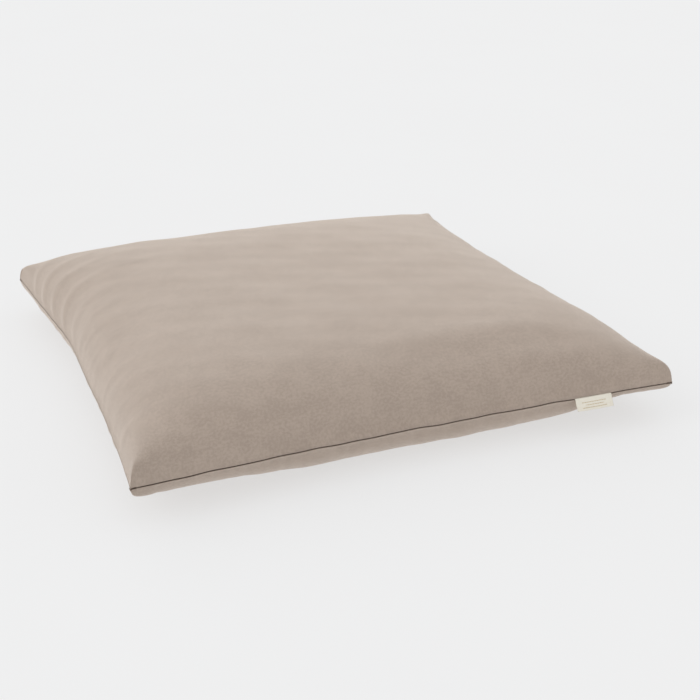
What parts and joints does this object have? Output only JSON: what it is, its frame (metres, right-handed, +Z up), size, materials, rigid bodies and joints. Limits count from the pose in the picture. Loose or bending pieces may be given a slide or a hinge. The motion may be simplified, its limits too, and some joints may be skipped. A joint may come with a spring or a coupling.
{
  "type": "floor cushion",
  "caption": "Square knife-edge floor cushion with a fibre-filled inner case, a zip in the back seam, and a folded woven label in the front seam.",
  "frame": {"origin": "on the floor, under the middle of the cushion's outline", "axes": "+Z up, +X along the front seam that carries the label, +Y towards the back seam that carries the zip"},
  "size_m": [0.7, 0.7002, 0.1275],
  "materials": {
    "cover_cloth": "brushed cotton, fine plain weave, taupe",
    "seam_thread": "polyester overlock thread",
    "zip_tape": "woven polyester tape",
    "zip_coil": "nylon coil",
    "zip_metal": "nickel plated",
    "label_ribbon": "woven ribbon, cream with thin gold threads",
    "care_satin": "satin ribbon",
    "case_cloth": "plain cotton",
    "fibre": "hollow polyester fibre"
  },
  "bodies": {
    "cushion": {"cover_top_panel": "cover_cloth", "cover_bottom_panel": "cover_cloth", "overlock_front": "seam_thread", "overlock_left": "seam_thread", "overlock_right": "seam_thread", "overlock_back_left": "seam_thread", "overlock_back_right": "seam_thread", "zip_tape_upper": "zip_tape", "zip_tape_lower": "zip_tape", "zip_coil_upper": "zip_coil", "zip_coil_lower": "zip_coil", "zip_top_stop_upper": "zip_metal", "zip_top_stop_lower": "zip_metal", "zip_bottom_stop": "zip_metal", "woven_label_tail": "label_ribbon", "care_label": "care_satin", "inner_case_top": "case_cloth", "inner_case_bottom": "case_cloth", "fibre_fill": "fibre"},
    "zip_slider": {"zip_slider": "zip_metal"},
    "zip_puller": {"zip_puller": "zip_metal"},
    "woven_label_flap": {"woven_label_flap": "label_ribbon"}
  },
  "joints": [
    {"name": "zip_slide", "type": "slide", "parent": "cushion", "child": "zip_slider", "axis": [1, 0, 0], "range_m": [0, 0.4644]},
    {"name": "puller_swing", "type": "hinge", "parent": "zip_slider", "child": "zip_puller", "pos_m": [-0.2322, 0.3409, 0.0455], "axis": [1, 0, 0], "range_deg": [-5, 185]},
    {"name": "label_lift", "type": "hinge", "parent": "cushion", "child": "woven_label_flap", "pos_m": [0.23892, -0.34152, 0.04783], "axis": [-0.9974, 0.0701, -0.0195], "range_deg": [-31, 145]}
  ]
}
